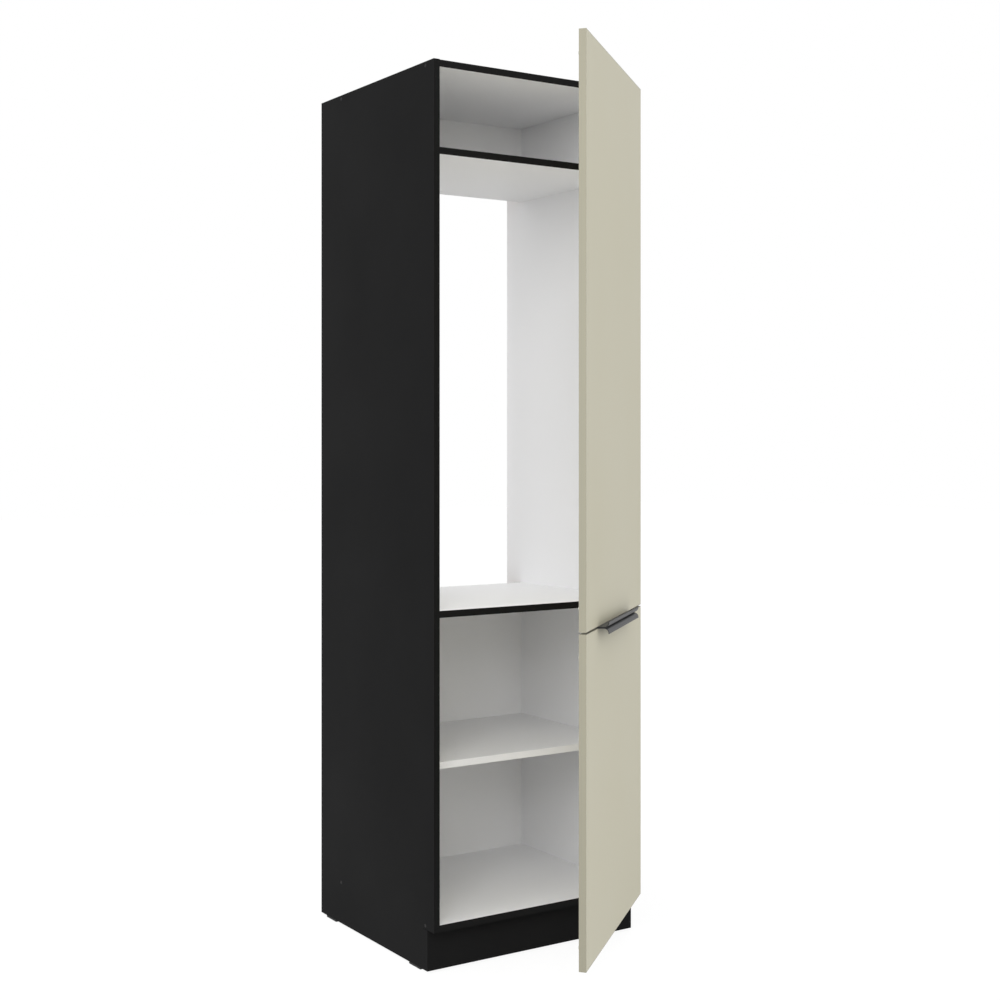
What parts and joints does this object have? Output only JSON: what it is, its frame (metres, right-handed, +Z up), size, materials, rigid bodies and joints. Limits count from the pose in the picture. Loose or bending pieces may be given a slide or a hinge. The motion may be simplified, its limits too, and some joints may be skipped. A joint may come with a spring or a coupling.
{
  "type": "tall fridge housing cabinet",
  "caption": "Tall kitchen cabinet that houses a built-in fridge in an open niche between closed compartments, with right-hung doors on concealed hinges.",
  "frame": {"origin": "floor level, under the middle of the carcass footprint", "axes": "+X to the right seen from the front, +Y from the doors to the wall, +Z up"},
  "size_m": [0.6, 0.9414, 2.1],
  "materials": {
    "side_board": "black laminate outside, white laminate inside",
    "white_board": "white matt laminate",
    "black_band": "black satin edge band",
    "white_band": "white satin edge band",
    "back_board": "white lacquered hardboard",
    "plinth_laminate": "black matt laminate",
    "block_wood": "plain softwood",
    "black_plastic": "moulded",
    "zinc_steel": "zinc plated",
    "hinge_steel": "nickel plated",
    "door_lacquer": "sage matt lacquer",
    "door_band": "sage satin edge band",
    "graphite": "graphite anodised",
    "graphite_steel": "black zinc",
    "clear_rubber": "clear soft pads"
  },
  "bodies": {
    "carcass": {"left_side_panel": "side_board", "right_side_panel": "side_board", "top_panel": "white_board", "bottom_panel": "white_board", "upper_fixed_shelf": "white_board", "fridge_floor_shelf": "white_board", "adjustable_shelf": "white_board", "side_front_bands": "black_band", "panel_front_bands": "black_band", "shelf_front_band": "white_band", "upper_back_panel": "back_board", "lower_back_panel": "back_board", "plinth_board": "plinth_laminate", "plinth_blocks": "block_wood", "dowels": "block_wood", "screw_caps": "black_plastic", "floor_glides": "black_plastic", "carcass_screws": "zinc_steel", "cam_discs": "zinc_steel", "cam_bolts": "zinc_steel", "back_panel_nails": "zinc_steel", "plinth_block_screws": "zinc_steel", "glide_nails": "zinc_steel", "wall_brackets": "zinc_steel", "wall_bracket_screws": "zinc_steel", "shelf_pins": "zinc_steel", "hinge_plates": "hinge_steel", "hinge_arms": "hinge_steel", "hinge_plate_screws": "hinge_steel", "hinge_arm_screws": "hinge_steel", "hinge_pivots": "hinge_steel"},
    "upper_door": {"upper_door_hinge_cups": "hinge_steel", "upper_door_cup_screws": "hinge_steel", "upper_door_panel": "door_lacquer", "upper_door_bands": "door_band", "upper_door_handle": "graphite", "upper_door_handle_screws": "graphite_steel", "upper_door_bumpers": "clear_rubber"},
    "lower_door": {"lower_door_hinge_cups": "hinge_steel", "lower_door_cup_screws": "hinge_steel", "lower_door_panel": "door_lacquer", "lower_door_bands": "door_band", "lower_door_handle": "graphite", "lower_door_handle_screws": "graphite_steel", "lower_door_bumpers": "clear_rubber"},
    "upper_links": {"upper_hinge_links": "hinge_steel"},
    "lower_links": {"lower_hinge_links": "hinge_steel"}
  },
  "joints": [
    {"name": "upper_door_swing", "type": "hinge", "parent": "carcass", "child": "upper_door", "pos_m": [0.2915, -0.293, 1.459], "axis": [0, 0, 1], "range_deg": [-39.3, 65.7]},
    {"name": "lower_door_swing", "type": "hinge", "parent": "carcass", "child": "lower_door", "pos_m": [0.2915, -0.293, 0.459], "axis": [0, 0, 1], "range_deg": [-39.3, 65.7]},
    {"name": "upper_link_turn", "type": "hinge", "parent": "carcass", "child": "upper_links", "pos_m": [0.2642, -0.282, 1.459], "axis": [0, 0, 1], "range_deg": [-30.5, 18.2]},
    {"name": "lower_link_turn", "type": "hinge", "parent": "carcass", "child": "lower_links", "pos_m": [0.2642, -0.282, 0.459], "axis": [0, 0, 1], "range_deg": [-30.5, 18.2]}
  ],
  "couplings": [
    {"joint": "upper_link_turn", "follows": "upper_door_swing", "ratio": -0.4545},
    {"joint": "lower_link_turn", "follows": "lower_door_swing", "ratio": -0.4545}
  ]
}
